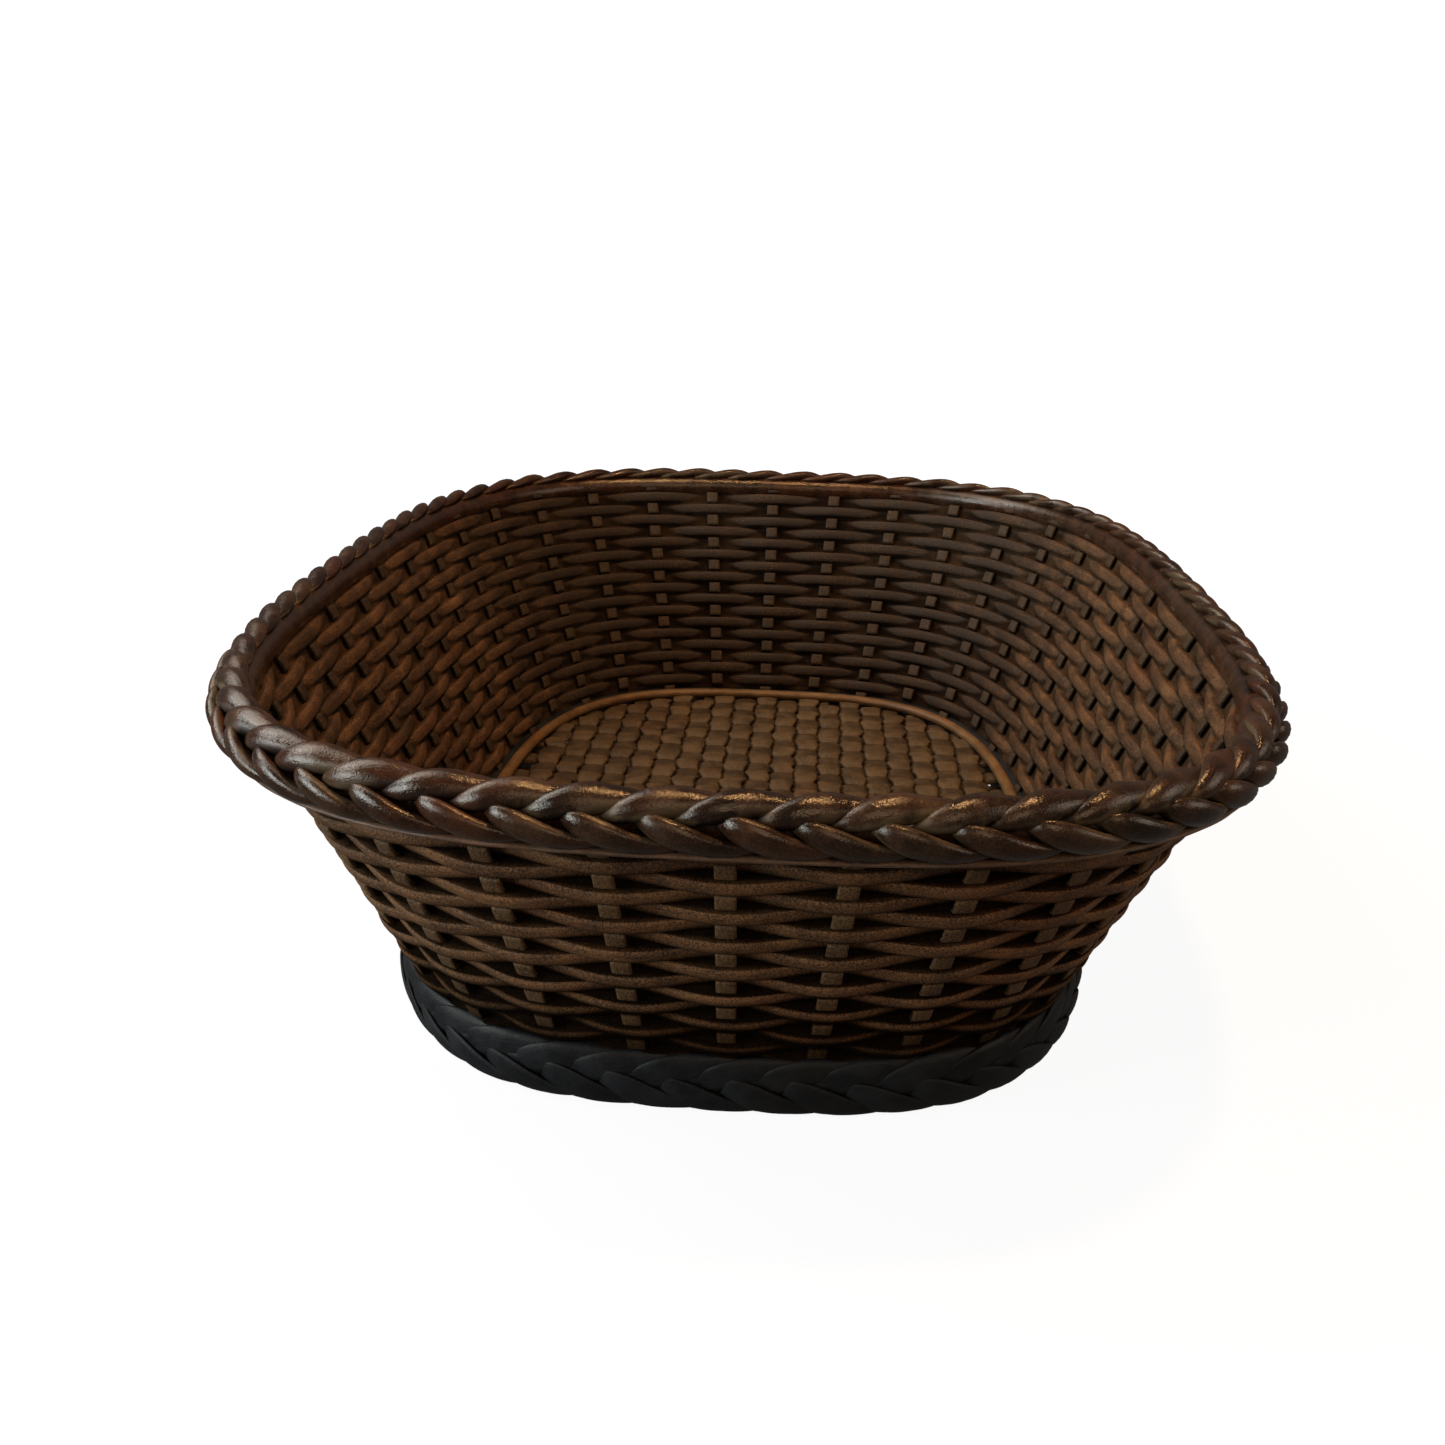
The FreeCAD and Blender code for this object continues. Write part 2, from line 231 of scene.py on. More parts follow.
def keep(piece, slot, *nodes):
    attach(piece, ROOT)
    if nodes:
        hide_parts(*nodes)


# ---------------------------------------------------------------- materials

# Near black: the colour of the painted shade in hollows, joints, and the edges of lobes and strips.
PAINTED_SHADE_COLOUR = (0.0020, 0.0015, 0.0012)
SHEEN_TINT = (1.0, 0.88, 0.73, 1.0)
COAT_ROUGHNESS = 0.30
FIBRE_STRETCH = (1.5, 14.0, 1.0)
FIBRE_WEIGHT, MOTTLE_WEIGHT, TONE_AND_SHADE_WEIGHT = 0.35, 0.65, 0.15
CREVICE_ROUGHNESS = 0.5
CREVICE_SHINE = 0.02
GRAIN_DEPTH = 0.0006
WEAR_DEPTH, WEAR_STRENGTH = 0.0010, 0.35
# Noise scales, per metre.
MOTTLE_SCALE = 120.0
PATCH_SCALE = 22.0
SPECK_SCALE = 2100.0


class Nodes:
    """A shorthand for building a material's node tree."""

    def __init__(self, name):
        self.material = bpy.data.materials.new(name)
        self.material.use_nodes = True
        self.tree = self.material.node_tree
        self.shader = self.tree.nodes["Principled BSDF"]

    def add(self, kind, inputs=None, **settings):
        node = self.tree.nodes.new(kind)
        for key, value in settings.items():
            setattr(node, key, value)
        for key, value in (inputs or {}).items():
            if isinstance(value, bpy.types.NodeSocket):
                self.tree.links.new(value, node.inputs[key])
            else:
                node.inputs[key].default_value = value
        return node

    def stretched(self, scale):
        """The UV map in centimetres of length and girth, scaled."""
        uv = self.add("ShaderNodeUVMap", uv_map="length_girth")
        return self.add("ShaderNodeMapping", {"Vector": uv.outputs["UV"], "Scale": scale}).outputs["Vector"]

    def noise(self, vector, scale, detail=3.0, roughness=0.55):
        node = self.add("ShaderNodeTexNoise", {"Vector": vector, "Scale": scale, "Detail": detail,
                                               "Roughness": roughness})
        return node.outputs["Fac"]

    def band(self, value, low, high, out_low=0.0, out_high=1.0):
        node = self.add("ShaderNodeMapRange", {"Value": value, "From Min": low, "From Max": high,
                                               "To Min": out_low, "To Max": out_high},
                        interpolation_type="SMOOTHSTEP")
        return node.outputs["Result"]

    def math(self, operation, first, second):
        return self.add("ShaderNodeMath", {0: first, 1: second}, operation=operation).outputs["Value"]

    def blend(self, share, low, high, mode="MIX"):
        node = self.add("ShaderNodeMix", {"Factor": share}, data_type="RGBA", blend_type=mode)
        for socket, value in ((node.inputs[6], low), (node.inputs[7], high)):
            if isinstance(value, bpy.types.NodeSocket):
                self.tree.links.new(value, socket)
            else:
                socket.default_value = (*value, 1.0)
        return node.outputs[2]

    def link(self, value, name):
        self.tree.links.new(value, self.shader.inputs[name])


def cane(name, deep, light, warm, dust, gloss, coat, grain, speckle, shine=0.35, dustiness=0.3):
    """Stained cane: long fibres, mottled stain, warm patches, sandy speckle, dust in the hollows, and
    painted shade that darkens the hollows.
    """
    nodes = Nodes(name)
    place = nodes.add("ShaderNodeTexCoord").outputs["Object"]
    fibre = nodes.noise(nodes.stretched(FIBRE_STRETCH), 1.0, 4.0, 0.6)
    mottle = nodes.noise(place, MOTTLE_SCALE, 4.0, 0.6)
    patch = nodes.noise(place, PATCH_SCALE, 3.0, 0.5)
    speck = nodes.noise(place, SPECK_SCALE, 2.0, 0.7)
    tone_and_shade = nodes.add("ShaderNodeAttribute", attribute_name="tone_and_shade").outputs["Fac"]
    shade_and_dust = nodes.add("ShaderNodeAttribute", attribute_name="shade_and_dust").outputs["Fac"]

    shade = nodes.math("ADD", nodes.math("MULTIPLY", fibre, FIBRE_WEIGHT),
                       nodes.math("MULTIPLY", mottle, MOTTLE_WEIGHT))
    # The tone attribute is random tone, less painted shade on the walls' inner faces.
    shade = nodes.math("ADD", shade, nodes.math("MULTIPLY", tone_and_shade, TONE_AND_SHADE_WEIGHT))
    shade = nodes.math("ADD", shade, nodes.math("MULTIPLY", speck, speckle))
    spread = 0.20 + 0.12 * speckle
    middle = 0.60 + 0.5 * speckle
    stain = nodes.blend(nodes.band(patch, 0.48, 0.68, 0.0, 0.8), light, warm)
    colour = nodes.blend(nodes.band(shade, middle - spread, middle + spread), deep, stain)
    # Painted shade: the colour darkens towards near black in the hollows, joints and edges that the mesh
    # attribute marks.
    colour = nodes.blend(nodes.band(shade_and_dust, 0.30, 1.0, 0.0, 0.95), colour, PAINTED_SHADE_COLOUR)
    dusty = nodes.math("MULTIPLY", nodes.band(mottle, 0.38, 0.56), nodes.band(shade_and_dust, 0.20, 0.50))
    clear = nodes.math("MULTIPLY", nodes.band(shade_and_dust, 0.80, 1.00, dustiness, 0.0),
                       nodes.band(patch, 0.62, 0.45))
    colour = nodes.blend(nodes.math("MULTIPLY", dusty, clear), colour, dust)
    nodes.link(colour, "Base Color")

    rough = nodes.math("ADD", nodes.band(mottle, 0.3, 0.75, gloss - 0.08, gloss + 0.12),
                       nodes.band(shade_and_dust, 0.2, 0.8, 0.0, CREVICE_ROUGHNESS))
    nodes.link(rough, "Roughness")
    nodes.link(nodes.band(shade_and_dust, 0.3, 0.9, shine, CREVICE_SHINE), "Specular IOR Level")
    nodes.shader.inputs["Specular Tint"].default_value = SHEEN_TINT
    nodes.shader.inputs["Coat Weight"].default_value = coat
    nodes.shader.inputs["Coat Roughness"].default_value = COAT_ROUGHNESS

    fine = nodes.math("ADD", nodes.math("MULTIPLY", fibre, 0.5), nodes.math("MULTIPLY", speck, 0.8))
    bump = nodes.add("ShaderNodeBump", {"Height": fine, "Strength": grain, "Distance": GRAIN_DEPTH})
    worn = nodes.add("ShaderNodeBump", {"Height": mottle, "Strength": WEAR_STRENGTH, "Distance": WEAR_DEPTH,
                                        "Normal": bump.outputs["Normal"]})
    nodes.link(worn.outputs["Normal"], "Normal")
    return nodes.material


RIM_CANE = cane(
    "rim_cane_look", deep=(0.008, 0.0038, 0.0026), light=(0.070, 0.032, 0.015), warm=(0.080, 0.023, 0.008),
    dust=(0.13, 0.090, 0.045), gloss=0.19, coat=0.0, grain=0.25, speckle=0.60, shine=0.52, dustiness=0.6)
CORD_CANE = cane(
    "cord_cane_look", deep=(0.070, 0.036, 0.022), light=(0.200, 0.115, 0.065), warm=(0.190, 0.080, 0.040),
    dust=(0.16, 0.095, 0.038), gloss=0.45, coat=0.05, grain=0.35, speckle=0.35)
WEAVER_CANE = cane(
    "weaver_cane_look", deep=(0.018, 0.008, 0.0030), light=(0.270, 0.118, 0.042), warm=(0.200, 0.070, 0.022),
    dust=(0.06, 0.036, 0.018), gloss=0.55, coat=0.0, grain=0.9, speckle=1.9)
STAKE_CANE = cane(
    "stake_cane_look", deep=(0.026, 0.013, 0.005), light=(0.190, 0.098, 0.038), warm=(0.170, 0.072, 0.022),
    dust=(0.06, 0.036, 0.018), gloss=0.55, coat=0.0, grain=0.9, speckle=1.9)
# The foot's colour is partly its own dark colour and partly painted shade: near black and bluish, as the
# foot lies in the cool shade under the flared wall.
FOOT_CANE = cane(
    "foot_cane_look", deep=(0.0048, 0.0056, 0.0068), light=(0.0155, 0.0168, 0.0190),
    warm=(0.0125, 0.0110, 0.0105), dust=(0.014, 0.013, 0.012), gloss=0.50, coat=0.0, grain=0.25, speckle=0.3,
    shine=0.25)
FLOOR_CANE = cane(
    "floor_cane_look", deep=(0.028, 0.015, 0.006), light=(0.124, 0.073, 0.032), warm=(0.115, 0.058, 0.021),
    dust=(0.07, 0.042, 0.018), gloss=0.52, coat=0.0, grain=0.6, speckle=0.7)
BEAD_CANE = cane(
    "bead_cane_look", deep=(0.080, 0.038, 0.013), light=(0.200, 0.104, 0.038), warm=(0.200, 0.080, 0.022),
    dust=(0.08, 0.045, 0.018), gloss=0.45, coat=0.05, grain=0.35, speckle=0.35)


# ---------------------------------------------------------------- the woven wall

WEAVER_SWING = 1.75
WEAVER_BULGE = 0.95
WEAVER_STEPS_PER_STAKE = 12
TOP_ROW_SWING_SHARE = 0.6
ROW_WANDER = 0.14
SWING_WANDER = 0.10
SKIRT = 4.0
# The web is a thin sheet that closes the gap between two rows; its near-black colour is painted shade, the
# shade in the recess there.  It stands out and in by turns, so that two rows' joints do not lie in one
# surface.
WEB_OUT = 0.05
WEB_HALF_THICKNESS = 0.04
INNER_SWELL = 1.1
INNER_REACH = 0.35
# Painted shade on the inner face where it lies back, out from the joint, and on the outside where a weaver
# sinks behind a stake.
HIDDEN_SHADE = 0.8
SUNK_SHADE = 0.30
# The inner face gets a share of the hollows' painted shade, and is painted darker still, most at the far
# end: painted shade.
INNER_CREVICE_SHARE = 0.70
INNER_SHADE_DROP = 1.0
FAR_END_SHADE_DROP = 2.0

STAKE_SWING = 1.35
STAKE_STEP = 4.5
STAKE_HALF_WIDTH = 2.65
STAKE_HALF_THICKNESS = 0.75
STAKE_SAMPLES_PER_ROW = 12
STAKE_TOP_ROW = -0.2
STAKE_LAST_ROW = ROWS + 0.6
# Painted shade on a stake where it passes between the rows, along its edges, and on its inner face.
STAKE_HIDDEN_SHADE = 0.9
STAKE_SIDE_SHADE = 0.55
STAKE_INNER_SHADE_DROP = 2.4

# Painted shade on the wall's outside towards the foot: its strength, and the rows where it starts and where
# it is full.
FOOT_SHADE_STRENGTH = 0.78
FOOT_SHADE_FIRST_ROW, FOOT_SHADE_FULL_ROW = 9, 17

# Down a weaver's section: height, whether it belongs to the cane rather than to the joint
# between two rows, swell, and how much painted shade it gets: the joints and the lower half of the cane are
# painted darker, as shade falls there.
WEAVER_SECTION = np.array([
    (3.25, 0, 0.00, 1.0), (2.62, 0, 0.00, 1.0), (2.25, 1, 0.25, 0.75), (2.08, 1, 0.62, 0.2),
    (1.75, 1, 0.92, 0.0), (1.20, 1, 1.08, 0.0), (0.60, 1, 1.12, 0.1), (0.00, 1, 1.08, 0.25),
    (-0.6, 1, 0.98, 0.40), (-1.2, 1, 0.84, 0.55), (-1.7, 1, 0.66, 0.68), (-2.1, 1, 0.42, 0.85),
    (-2.32, 1, 0.10, 1.0), (-2.62, 0, 0.00, 1.0), (-3.25, 0, 0.00, 1.0)])


def shade_towards_foot(rows):
    """Painted shade: the wall's outside is painted darker towards the foot, where less light reaches it."""
    return FOOT_SHADE_STRENGTH * smoothstep(FOOT_SHADE_FIRST_ROW, FOOT_SHADE_FULL_ROW, rows)


def weaver_section(swing, web, skirt):
    """Heights, outward offsets and painted shade round a weaver whose thin edges meet the next rows."""
    heights, body, swell, dark = WEAVER_SECTION.T
    heights = heights - skirt * (heights == heights.min())
    middle = web + body * (swing[:, None] - web)
    half = WEB_HALF_THICKNESS + body * WEAVER_BULGE * swell
    inner = np.minimum(middle - INNER_SWELL * half, web + INNER_REACH * body)
    out = np.concatenate([middle + half, inner[:, ::-1]], axis=1)
    up = np.broadcast_to(np.concatenate([heights, heights[::-1]]), out.shape)
    hidden = np.concatenate([0 * middle, smoothstep(-0.9, 0.2, inner - web)[:, ::-1]], axis=1)
    return up, out, np.concatenate([dark, dark[::-1]]) + HIDDEN_SHADE * hidden


def make_weavers(rng):
    steps = STAKES * WEAVER_STEPS_PER_STAKE
    shares = np.arange(steps) / steps
    far_end = smoothstep(0.4, 0.95, -np.cos(2 * math.pi * shares))[:, None]
    for row in range(ROWS):
        points, normals = wall_oval(row).at(shares + STAKE_TURN)
        wander = low_waves(rng, shares, 9, ROW_WANDER)
        reach = WEAVER_SWING * (TOP_ROW_SWING_SHARE if row == 0 else 1.0)
        reach = reach + low_waves(rng, shares, 40, SWING_WANDER)
        web = WEB_OUT if row % 2 == 0 else -WEB_OUT
        skirt = SKIRT if row == ROWS - 1 else 0.0
        swing = reach * np.cos(math.pi * (STAKES * shares + row))
        up, out, dark = weaver_section(swing, web, skirt)
        outward = up * math.sin(LEAN) + out * math.cos(LEAN)
        heights = wall_height(row) + wander[:, None] + up * math.cos(LEAN) - out * math.sin(LEAN)
        flat = points[:, None, :] + normals[:, None, :] * outward[..., None]
        rings = np.concatenate([flat, heights[..., None]], axis=-1)[None]
        outside = np.arange(up.shape[1]) < len(WEAVER_SECTION)
        # Painted shade: the outside of a weaver is painted darker where it sinks behind a stake, and towards
        # the foot.
        sunk = SUNK_SHADE * outside * smoothstep(0.3, -1.0, swing[:, None] / WEAVER_SWING)
        foot_shaded = shade_towards_foot(row) * outside
        shade_and_dust = np.clip(dark + sunk + foot_shaded, 0, 1) * np.where(outside, 1.0, INNER_CREVICE_SHARE)
        # Painted shade: the inner face is painted darker, most at the far end of the basket.
        inner_shade_drop = ~outside * (INNER_SHADE_DROP + FAR_END_SHADE_DROP * far_end)
        tone_and_shade = 0.5 + 2.0 * low_waves(rng, shares, 40, 0.2)[:, None] - inner_shade_drop
        name = row_name(row)
        keep(strips(name + "_look", rings, True, WEAVER_CANE, shade_and_dust, tone_and_shade), "weaver_cane", name)


def stake_rings(number):
    """One stake's rings, its painted shade at each point, and how much darker its inner face is painted as
    shade.
    """
    rows = np.linspace(STAKE_TOP_ROW, STAKE_LAST_ROW,
                       int((STAKE_LAST_ROW - STAKE_TOP_ROW) * STAKE_SAMPLES_PER_ROW))
    wave = np.cos(math.pi * (number + rows))
    swing = -STAKE_SWING * np.tanh(STAKE_STEP * wave)
    turns = round_turns(14)
    across = STAKE_HALF_WIDTH * signed_power(np.cos(turns), 0.34)
    thick = STAKE_HALF_THICKNESS * signed_power(np.sin(turns), 0.7)
    rings = np.zeros((len(rows), len(turns), 3))
    for index, row in enumerate(rows):
        oval = wall_oval(row)
        points, normals = oval.at(STAKE_TURN + number / STAKES + across / oval.girth)
        out = swing[index] + thick
        rings[index, :, :2] = points + normals * (out * math.cos(LEAN))[:, None]
        rings[index, :, 2] = wall_height(row) - out * math.sin(LEAN)
    # Painted shade: darker where the stake passes between the rows, on its outer squares towards the foot,
    # and along its edges.
    hidden = STAKE_HIDDEN_SHADE * (1 - smoothstep(0.10, 0.34, np.abs(wave)))
    foot_shaded = shade_towards_foot(rows) * (wave < 0)
    sides = STAKE_SIDE_SHADE * smoothstep(0.93, 1.0, np.abs(across) / STAKE_HALF_WIDTH)
    shade_and_dust = np.clip((hidden + foot_shaded)[:, None] + sides, 0, 1)
    return rings, shade_and_dust, STAKE_INNER_SHADE_DROP * (wave > 0)[:, None]


def make_stakes(rng):
    for first in range(0, STAKES, 2):
        name = "stakes_%02d_%02d" % (first + 1, first + 2)
        rings, shade_and_dust, inner_shade_drop = map(np.stack, zip(stake_rings(first), stake_rings(first + 1)))
        # Random tone, less the painted shade on the inner faces.
        tone_and_shade = 0.4 + 0.4 * rng.random((2, 1, 1)) - inner_shade_drop
        keep(strips(name + "_look", rings, False, STAKE_CANE, shade_and_dust, tone_and_shade), "stake_cane", name)


# ---------------------------------------------------------------- the plaits

# Each visible lobe of a plait, along its length: millimetres along the rim, place from the plait's
# middle line to its edge, depth, half width and half thickness.
LOWER_LOBE = [
    (-1.5, 0.08, -1.8, 0.6, 0.5), (0.3, 0.10, -0.3, 1.5, 1.2), (2.0, 0.16, 0.5, 2.3, 1.8),
    (5.0, 0.30, 0.9, 2.9, 2.3), (9.5, 0.50, 1.0, 3.2, 2.6), (14.0, 0.69, 0.9, 3.1, 2.5),
    (18.0, 0.83, 0.65, 2.8, 2.2), (22.0, 0.94, 0.3, 2.2, 1.7), (25.5, 1.0, -0.3, 1.4, 1.1),
    (27.5, 1.02, -1.3, 0.6, 0.5)]
UPPER_LOBE = [
    (-2.0, 0.02, -2.2, 0.8, 0.6), (0.5, 0.08, -0.9, 1.6, 1.2), (3.5, 0.20, 0.1, 2.4, 1.8),
    (7.0, 0.34, 0.7, 2.9, 2.4), (11.0, 0.50, 0.95, 3.3, 2.6), (15.0, 0.64, 0.9, 3.4, 2.5),
    (19.0, 0.76, 0.65, 3.2, 2.1), (23.0, 0.85, 0.35, 2.9, 1.7), (27.5, 0.92, -0.1, 2.3, 1.3),
    (31.0, 0.96, -0.9, 1.4, 0.8)]
# Millimetres between one lobe's start and the next, at the size the tables above are written for.
LOBE_GAP = 16.7
LOBE_TILT = 0.34
LOBE_RINGS = 26
LOBE_POINTS = 18
PLAIT_STRANDS = 3
RIM_TURNS = 24
FOOT_TURNS = 19
PLACE_JITTER, ANGLE_JITTER, WIDTH_JITTER, DEPTH_JITTER = 0.35, 0.02, 0.04, 0.10
# Painted shade on a lobe: along its lower and upper edges, where it lies tucked under its neighbours, and at
# most.
LOW_EDGE_SHADE, HIGH_EDGE_SHADE = 0.80, 0.45
BURIED_SHADE = 0.6
LOBE_DARKEST = 0.85
# Where each plait's core lies beside the nodes it is measured from.
RIM_INSET, RIM_RISE = 2.8, 4.9
FOOT_OUTSET, FOOT_RISE = 4.2, 8.6

hoop_low, hoop_high = node_box("foot_hoop")
cord_low, cord_high = node_box("rim_cord")
bead_low, bead_high = node_box("floor_bead")
CORD_Z = (cord_low[2] + cord_high[2]) / 2
BEAD_Z = (bead_low[2] + bead_high[2]) / 2
RIM_OVAL = Oval(cord_high[0] - RIM_INSET, cord_high[1] - RIM_INSET, RIM_SQUARENESS)
RIM_AXIS_Z = CORD_Z + RIM_RISE
FOOT_OVAL = Oval(hoop_high[0] + FOOT_OUTSET, hoop_high[1] + FOOT_OUTSET, FOOT_SQUARENESS)
FOOT_AXIS_Z = hoop_low[2] + FOOT_RISE


class Band:
    """The rounded band that a plait lies on."""

    def __init__(self, oval, height, reach_out, reach_up, tilt, lean, fullness):
        self.oval = oval
        self.height = height
        self.reach_out = reach_out
        self.reach_up = reach_up
        self.tilt = tilt
        self.lean = lean
        self.fullness = fullness

    def at(self, shares, angle, depth):
        points, normals = self.oval.at(shares)
        up = (self.reach_up + depth) * np.sin(angle + self.tilt)
        facing = np.cos(angle + self.tilt)
        out = self.lean * up + (self.reach_out + depth) * signed_power(facing, self.fullness)
        flat = points[..., None, :] + normals[..., None, :] * out[..., None]
        return np.concatenate([flat, (self.height + up)[..., None]], axis=-1)


def lobe_rings(rng, band, lobe, side, starts, stretch, widen, flatten, widest):
    """The rings of one row of lobes, and the painted shade on each point: darker along the lobe's edges and
    where it lies deep in the plait.
    """
    along, place, depth, half_width, half_thickness = flowing(lobe, LOBE_RINGS).T
    count = len(starts)
    jitter = rng.normal(size=(4, count, 1))
    shares = starts[:, None] + (along * stretch + PLACE_JITTER * jitter[0]) / band.oval.girth
    middle = side * widest * place + ANGLE_JITTER * jitter[1]
    half_width = half_width * widen * (1 + WIDTH_JITTER * jitter[2])
    depth = depth * flatten + DEPTH_JITTER * jitter[3]
    turns = round_turns(LOBE_POINTS)
    across = np.cos(turns)
    bulge = signed_power(np.sin(turns), 0.9)
    angle = middle[..., None] + half_width[..., None] * across / band.reach_up
    tilt = LOBE_TILT * flatten * half_width[..., None] * across
    rings = band.at(shares, angle, depth[..., None] + tilt + flatten * half_thickness[:, None] * bulge)
    # Painted shade along the lobe's edges and where it is tucked under its neighbours.
    low_edge = smoothstep(0.15, 1.0, -across) * LOW_EDGE_SHADE
    high_edge = smoothstep(0.80, 1.0, across) * HIGH_EDGE_SHADE
    buried = smoothstep(0.6, -1.2, depth)[..., None]
    return rings, np.clip(low_edge + high_edge + BURIED_SHADE * buried, 0, LOBE_DARKEST)


def make_plait(rng, prefix, band, turns, first, widen, flatten, widest, material, slot):
    """Three strands, each seen once in the upper and once in the lower row of every turn."""
    lobes = PLAIT_STRANDS * turns
    stretch = band.oval.girth / lobes / LOBE_GAP
    for strand in range(PLAIT_STRANDS):
        starts = first + (np.arange(turns) + strand / PLAIT_STRANDS) / turns
        upper_starts = starts + 0.5 / lobes
        lower = lobe_rings(rng, band, LOWER_LOBE, -1, starts, stretch, widen, flatten, widest)
        upper = lobe_rings(rng, band, UPPER_LOBE, 1, upper_starts, stretch, widen, flatten, widest)
        rings, shade_and_dust = (np.concatenate(pair) for pair in zip(lower, upper))
        name = "%s_strand_%d" % (prefix, strand + 1)
        tone_and_shade = rng.random((2 * turns, 1, 1))
        keep(strips(name + "_look", rings, False, material, shade_and_dust, tone_and_shade), slot, name)


def make_plaits(rng):
    rim = Band(RIM_OVAL, RIM_AXIS_Z, reach_out=4.7, reach_up=5.1, tilt=math.radians(24), lean=0.0,
               fullness=1.0)
    foot = Band(FOOT_OVAL, FOOT_AXIS_Z - 0.2, reach_out=3.0, reach_up=8.1, tilt=0.0, lean=0.03,
                fullness=0.5)
    make_plait(rng, "rim_plait", rim, RIM_TURNS, first=0.0, widen=1.0, flatten=1.0, widest=math.radians(76),
               material=RIM_CANE, slot="rim_cane")
    make_plait(rng, "foot_plait", foot, FOOT_TURNS, first=0.0, widen=1.75, flatten=0.36,
               widest=math.radians(62), material=FOOT_CANE, slot="foot_cane")


# ---------------------------------------------------------------- hoops, cord and bead

RING_STEPS = 720
RING_POINTS = 20
CORD_RIPPLES, CORD_RIPPLE = 72, 0.25
CORD_WANDER = 0.16
CORD_DROP = 1.5
BEAD_INSET = 1.9


def ring(node, oval, out, height, half_out, half_up, material, slot, power=1.0, wander=None, lean=0.0):
    """A closed hoop beside an oval.  A power below one squares its section."""
    shares = np.arange(RING_STEPS) / RING_STEPS
    points, normals = oval.at(shares)
    turns = round_turns(RING_POINTS)
    across = signed_power(np.cos(turns), power) * half_out
    rise = signed_power(np.sin(turns), power) * half_up
    shift = np.zeros(RING_STEPS) if wander is None else wander(shares)
    outward = out + (across + lean * rise)[None, ::-1] + shift[:, None]
    flat = points[:, None, :] + normals[:, None, :] * outward[..., None]
    heights = height + rise[None, ::-1] + 0.6 * shift[:, None]
    rings = np.concatenate([flat, heights[..., None]], axis=-1)[None]
    keep(strips(node + "_look", rings, True, material), slot, node)


def make_rings(rng):
    def cord_waves(shares):
        ripple = CORD_RIPPLE * np.sin(2 * math.pi * CORD_RIPPLES * shares)
        return ripple + low_waves(rng, shares, 60, CORD_WANDER)

    ring("rim_hoop", RIM_OVAL, out=-0.8, height=RIM_AXIS_Z + 0.2, half_out=4.2, half_up=4.6,
         material=RIM_CANE, slot="rim_cane")
    ring("rim_cord", RIM_OVAL, out=2.5, height=CORD_Z - CORD_DROP, half_out=2.0, half_up=0.95,
         material=CORD_CANE, slot="rim_cane", wander=cord_waves)
    bead_oval = Oval(bead_high[0] - BEAD_INSET, bead_high[1] - BEAD_INSET, FOOT_SQUARENESS)
    ring("floor_bead", bead_oval, out=0.0, height=BEAD_Z, half_out=2.4, half_up=2.0,
         material=BEAD_CANE, slot="floor_cane")
    ring("foot_hoop", FOOT_OVAL, out=-2.3, height=FOOT_AXIS_Z - 2.2, half_out=4.9, half_up=5.8,
         material=FOOT_CANE, slot="foot_cane", power=0.5, lean=0.3)


# ---------------------------------------------------------------- the woven floor

FLOOR_Z = 7.6
GROUP = 6
COLUMNS = 10
CROSS_ROWS = 16
FLOOR_INSET = 0.5
STRIP_SAMPLE_LENGTH = 0.9
STRIP_STEP = 1.5
STRIP_SWELL = 0.14
SWAY_LENGTH = 400
SWAY_WAVES = 60
STRIP_DARKEST = 0.9
STRIP_SWING = 1.05
STRIP_HALF_THICKNESS = 1.05
LONG_HALF_WIDTH_SHARE, CROSS_HALF_WIDTH_SHARE = 0.45, 0.54
LONG_SWAY, CROSS_SWAY = 0.5, 0.2
LONG_LIFT, CROSS_LIFT = 0.7, -0.45
LONG_TONE, CROSS_TONE = 0.35, -0.45
# Painted shade along a strip's edges and where it dips under the crossing strips.
STRIP_EDGE_SHADE = 0.75
UNDER_SHADE = 0.85


def strip_reach(half, other_half, offset):
    inside = max(0.0, 1 - (abs(offset) / half) ** FOOT_SQUARENESS)
    return other_half * inside ** (1 / FOOT_SQUARENESS)


